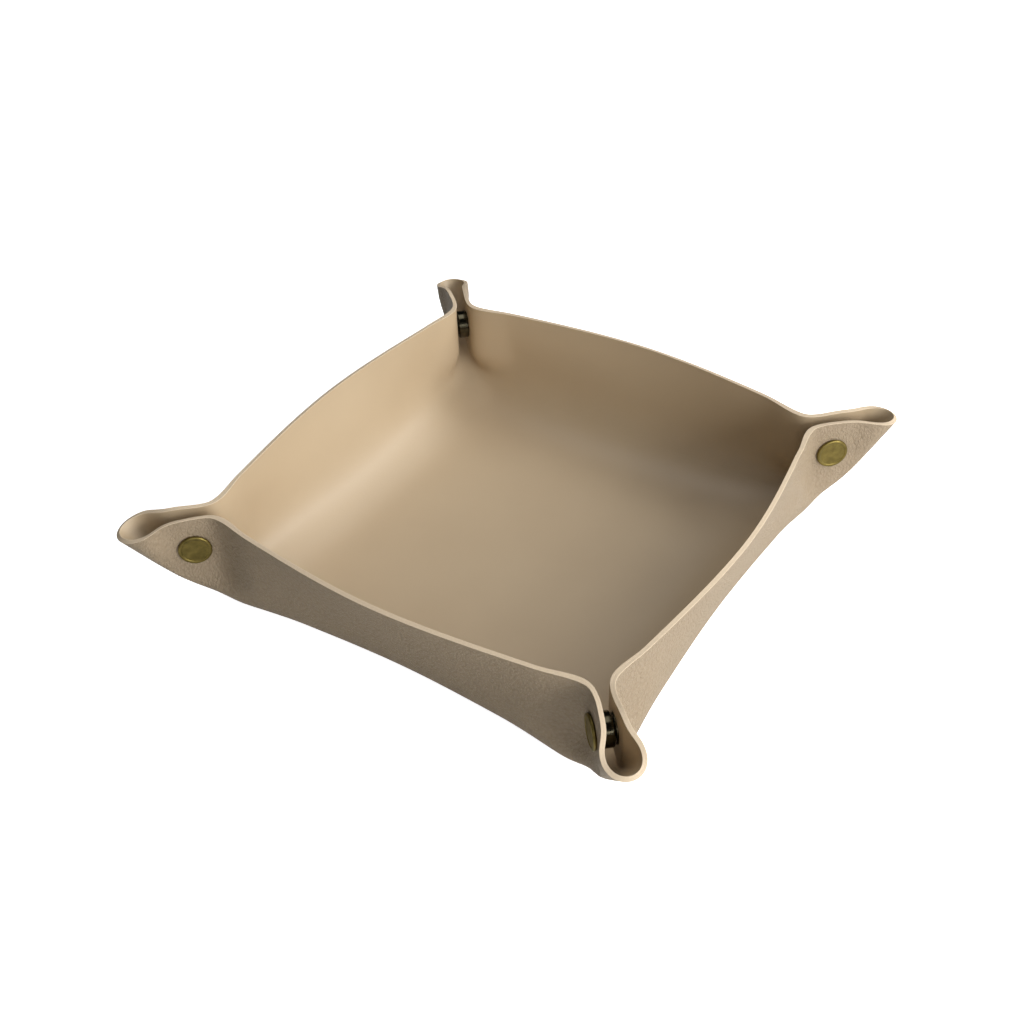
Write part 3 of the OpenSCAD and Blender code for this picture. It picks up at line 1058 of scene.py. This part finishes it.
@dataclass(frozen=True)
class RolledCap:
    """The cap of a press stud: a thin disc rolled over at its edge, with a dropped face.

    The face drops inside the rolled rim along a slope that carries on level for a while,
    and then crowns a little towards the middle.
    """

    ear: Ear
    material: bpy.types.Material
    diameter: float = 12.5
    edge_r: float = 0.65
    rim_width: float = 1.1
    face_drop: float = 0.2
    slope_reach: float = 1.5
    crown: float = 0.12
    sides: int = 96
    arc_steps: int = 14
    face_steps: int = 5

    def profile(self) -> np.ndarray:
        """Draws the outline that is turned about the cap's axis.

        Returns:
            Radius and height over the leather, from under the edge to the middle.
        """
        edge, top = self.edge_r, 2 * self.edge_r
        arc_r = self.diameter / 2 - edge
        arc = [(arc_r + edge * math.cos(a), edge + edge * math.sin(a))
               for a in np.radians(np.linspace(-90, 90, self.arc_steps))]
        face_r = arc_r - self.rim_width / 2
        slope = [(face_r - self.face_drop * t, top - self.face_drop * float(smooth(t)))
                 for t in np.linspace(0, self.slope_reach, self.face_steps)]
        inner_r = slope[-1][0]
        face = [(inner_r * t, top - self.face_drop + self.crown * (1 - t * t))
                for t in np.linspace(1, 0, self.face_steps)[1:]]
        return np.array(arc + slope + face)

    def make(self) -> bpy.types.Object:
        """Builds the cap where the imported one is.

        Returns:
            The cap, riding on the half that opens.
        """
        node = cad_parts[f"{self.ear.name}_cap"]
        points = np.array([node.matrix_world @ v.co for v in node.data.vertices]) / MM
        axis = self.ear.across() * (1 if self.ear.cap_on_y_wall() else -1)
        directions = np.stack([np.cross(UP, axis), UP, axis])
        local = points @ directions.T
        low, high = local.min(axis=0), local.max(axis=0)
        base = np.array([*((low + high) / 2)[:2], high[2] - 2 * self.edge_r])
        profile = self.profile()
        turn = np.linspace(0, 2 * math.pi, self.sides, endpoint=False)
        ring = np.stack([np.cos(turn), np.sin(turn)], axis=1)
        shell = [base + (radius * x, radius * y, height)
                 for radius, height in profile[:-1] for x, y in ring]
        shell.append(base + (0.0, 0.0, profile[-1][1]))
        faces, middle, sides = [], len(shell) - 1, self.sides
        for step in range(len(profile) - 1):
            innermost = step == len(profile) - 2
            for n in range(sides):
                a, b = step * sides + n, step * sides + (n + 1) % sides
                faces.append((a, b, middle) if innermost else (a, b, b + sides, a + sides))
        mesh = bpy.data.meshes.new(f"{self.ear.name}_rolled_cap")
        mesh.from_pydata((np.array(shell) @ directions) * MM, [], faces)
        mesh.materials.append(self.material)
        mesh.polygons.foreach_set("use_smooth", np.ones(len(faces), bool))
        made = place_in_scene(mesh.name, mesh)
        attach(made, self.ear.body())
        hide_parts(node.name)
        return made


@dataclass
class PressStuds:
    """The metal parts of the four press studs."""

    cap: bpy.types.Material
    inner: bpy.types.Material
    spring: bpy.types.Material

    def make(self) -> None:
        """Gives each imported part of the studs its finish, and each cap its fine shape."""
        # Sockets and studs take the brass whose dark colour is painted shade.
        finish = {"post": self.cap, "socket": self.inner, "stud": self.inner,
                  "spring": self.spring}
        for ear in EARS:
            LOG.info("made %s", RolledCap(ear, self.cap).make().name)
        for ear in EARS:
            for part, material in finish.items():
                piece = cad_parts[f"{ear.name}_{part}"]
                piece.data.materials.clear()
                piece.data.materials.append(material)
                LOG.info("dressed %s", piece.name)


@dataclass(frozen=True)
class Camera:
    """The camera, fitted to the rims, ears and studs of the photograph.

    Angles are degrees, its distance and target millimetres and its clipping metres.
    """

    azimuth: float = 34.6
    elevation: float = 39.3
    roll: float = -2.31
    distance: float = 554.4
    target: tuple[float, float, float] = (-5.105, -0.19, 19.35)
    focal_px: float = 1423.4
    frame_px: float = 1024.0
    sensor_mm: float = 36.0
    nearest: float = 0.01
    farthest: float = 20.0

    def make(self) -> bpy.types.Object:
        """Makes the camera and sets it as the scene's.

        Returns:
            The camera object.
        """
        a, e, r = (math.radians(v) for v in (self.azimuth, self.elevation, self.roll))
        back = Vector((math.sin(a) * math.cos(e), -math.cos(a) * math.cos(e), math.sin(e)))
        right = Vector((math.cos(a), math.sin(a), 0.0))
        up = back.cross(right)
        right, up = (math.cos(r) * right + math.sin(r) * up,
                     -math.sin(r) * right + math.cos(r) * up)
        data = bpy.data.cameras.new("camera")
        data.sensor_width = self.sensor_mm
        data.lens = self.focal_px / self.frame_px * self.sensor_mm
        data.clip_start, data.clip_end = self.nearest, self.farthest
        made = place_in_scene("camera", data)
        made.matrix_world = Matrix.Translation(
            (Vector(self.target) + back * self.distance) * MM
        ) @ Matrix((right, up, back)).transposed().to_4x4()
        bpy.context.scene.camera = made
        return made


@dataclass(frozen=True)
class Softbox:
    """A square studio lamp that points at the tray. Sizes are metres, its power watts."""

    name: str
    place: tuple[float, float, float]
    size: float
    power: float

    def make(self) -> bpy.types.Object:
        """Makes the lamp.

        Returns:
            The lamp object.
        """
        data = bpy.data.lights.new(self.name, "AREA")
        data.shape, data.size, data.energy = "SQUARE", self.size, self.power
        made = place_in_scene(self.name, data)
        made.location = self.place
        made.rotation_mode = "QUATERNION"
        made.rotation_quaternion = (-Vector(self.place)).to_track_quat("-Z", "Y")
        return made


@dataclass(frozen=True)
class Studio:
    """Pale floor, soft lamps and an even surround. Sizes are metres.

    The surround and the floor are lifted to white for the camera's own rays alone, so
    the lift adds no light to the tray.
    """

    lamps: tuple[Softbox, ...] = (
        Softbox("key", (1.2, -0.4, 0.4), 0.6, 12.0),
        Softbox("key_middle", (1.1, 0.15, 0.62), 0.7, 5.7),
        Softbox("key_far", (0.8, 0.8, 0.8), 0.6, 8.0),
        Softbox("behind", (0.1, 0.9, 1.1), 0.6, 2.5),
        Softbox("top", (-0.2, 0.3, 1.3), 0.9, 4.6),
        Softbox("fill", (0.5, -1.1, 0.7), 0.7, 2.4),
    )
    surround: float = 0.02
    floor_size: float = 6.0
    floor_drop: float = 0.0002
    floor_colours: tuple[str, str] = ("f0f0ef", "f4f4f3")
    floor_roughness: float = 0.9
    floor_glow: float = 0.85
    floor_noise_scale: float = 8.0

    def make(self) -> None:
        """Makes the floor, the world and the lamps."""
        for lamp in self.lamps:
            lamp.make()
        self.make_world()
        self.make_floor()
        bpy.context.scene.view_settings.view_transform = "Standard"

    def make_world(self) -> None:
        """An even, dim surround that the camera sees as white."""
        world = bpy.data.worlds.new("surround")
        bpy.context.scene.world = world
        world.use_nodes = True
        tree = world.node_tree
        background = tree.nodes["Background"]
        rays = add_node(tree, "ShaderNodeLightPath")
        level = add_node(tree, "ShaderNodeMapRange", {
            "Value": rays.outputs["Is Camera Ray"], "To Min": self.surround, "To Max": 1.0})
        tree.links.new(level.outputs["Result"], background.inputs["Strength"])
        background.inputs["Color"].default_value = linear(WHITE)

    def make_floor(self) -> None:
        """A matt floor that the camera sees as nearly white, with the tray's shadow."""
        half = self.floor_size / 2
        mesh = bpy.data.meshes.new("floor")
        mesh.from_pydata(
            [(-half, -half, 0), (half, -half, 0), (half, half, 0), (-half, half, 0)],
            [], [(0, 1, 2, 3)])
        floor = place_in_scene("floor", mesh)
        floor.location.z = -self.floor_drop
        made, tree, shader = new_material("painted_studio_floor")
        noise = add_node(tree, "ShaderNodeTexNoise", {"Scale": self.floor_noise_scale})
        pale, paler = (linear(colour) for colour in self.floor_colours)
        tone = add_node(tree, "ShaderNodeMix", {
            "Factor": noise.outputs["Fac"], COLOUR_A: pale, COLOUR_B: paler},
            data_type="RGBA")
        tree.links.new(tone.outputs[COLOUR_OUT], shader.inputs["Base Color"])
        shader.inputs["Roughness"].default_value = self.floor_roughness
        rays = add_node(tree, "ShaderNodeLightPath")
        glow = add_node(tree, "ShaderNodeMath", {
            0: rays.outputs["Is Camera Ray"], 1: self.floor_glow}, operation="MULTIPLY")
        tree.links.new(glow.outputs["Value"], shader.inputs["Emission Strength"])
        shader.inputs["Emission Color"].default_value = linear(WHITE)
        mesh.materials.append(made)


def main() -> None:
    """Builds the scene piece by piece."""
    logging.basicConfig(level=logging.INFO, format="%(message)s")
    Camera().make()
    grid = SheetGrid(FoldedSheet())
    edge = CutEdge().material()
    layers = (
        LeatherLayer(grid, Layer.INNER, "inner_leather", "inner_leather",
                     SmoothLeather().material(), edge),
        LeatherLayer(grid, Layer.OUTER, "outer_leather", "outer_leather",
                     PebbledLeather().material(), edge),
    )
    for layer in layers:
        for piece in layer.make():
            LOG.info("made %s with %d faces", piece.name, len(piece.data.polygons))
    PressStuds(
        ANTIQUED_BRASS.material(), SHADE_DARKENED_BRASS.material(), STEEL_WIRE.material(),
    ).make()
    Studio().make()


if __name__ == "__main__":
    main()
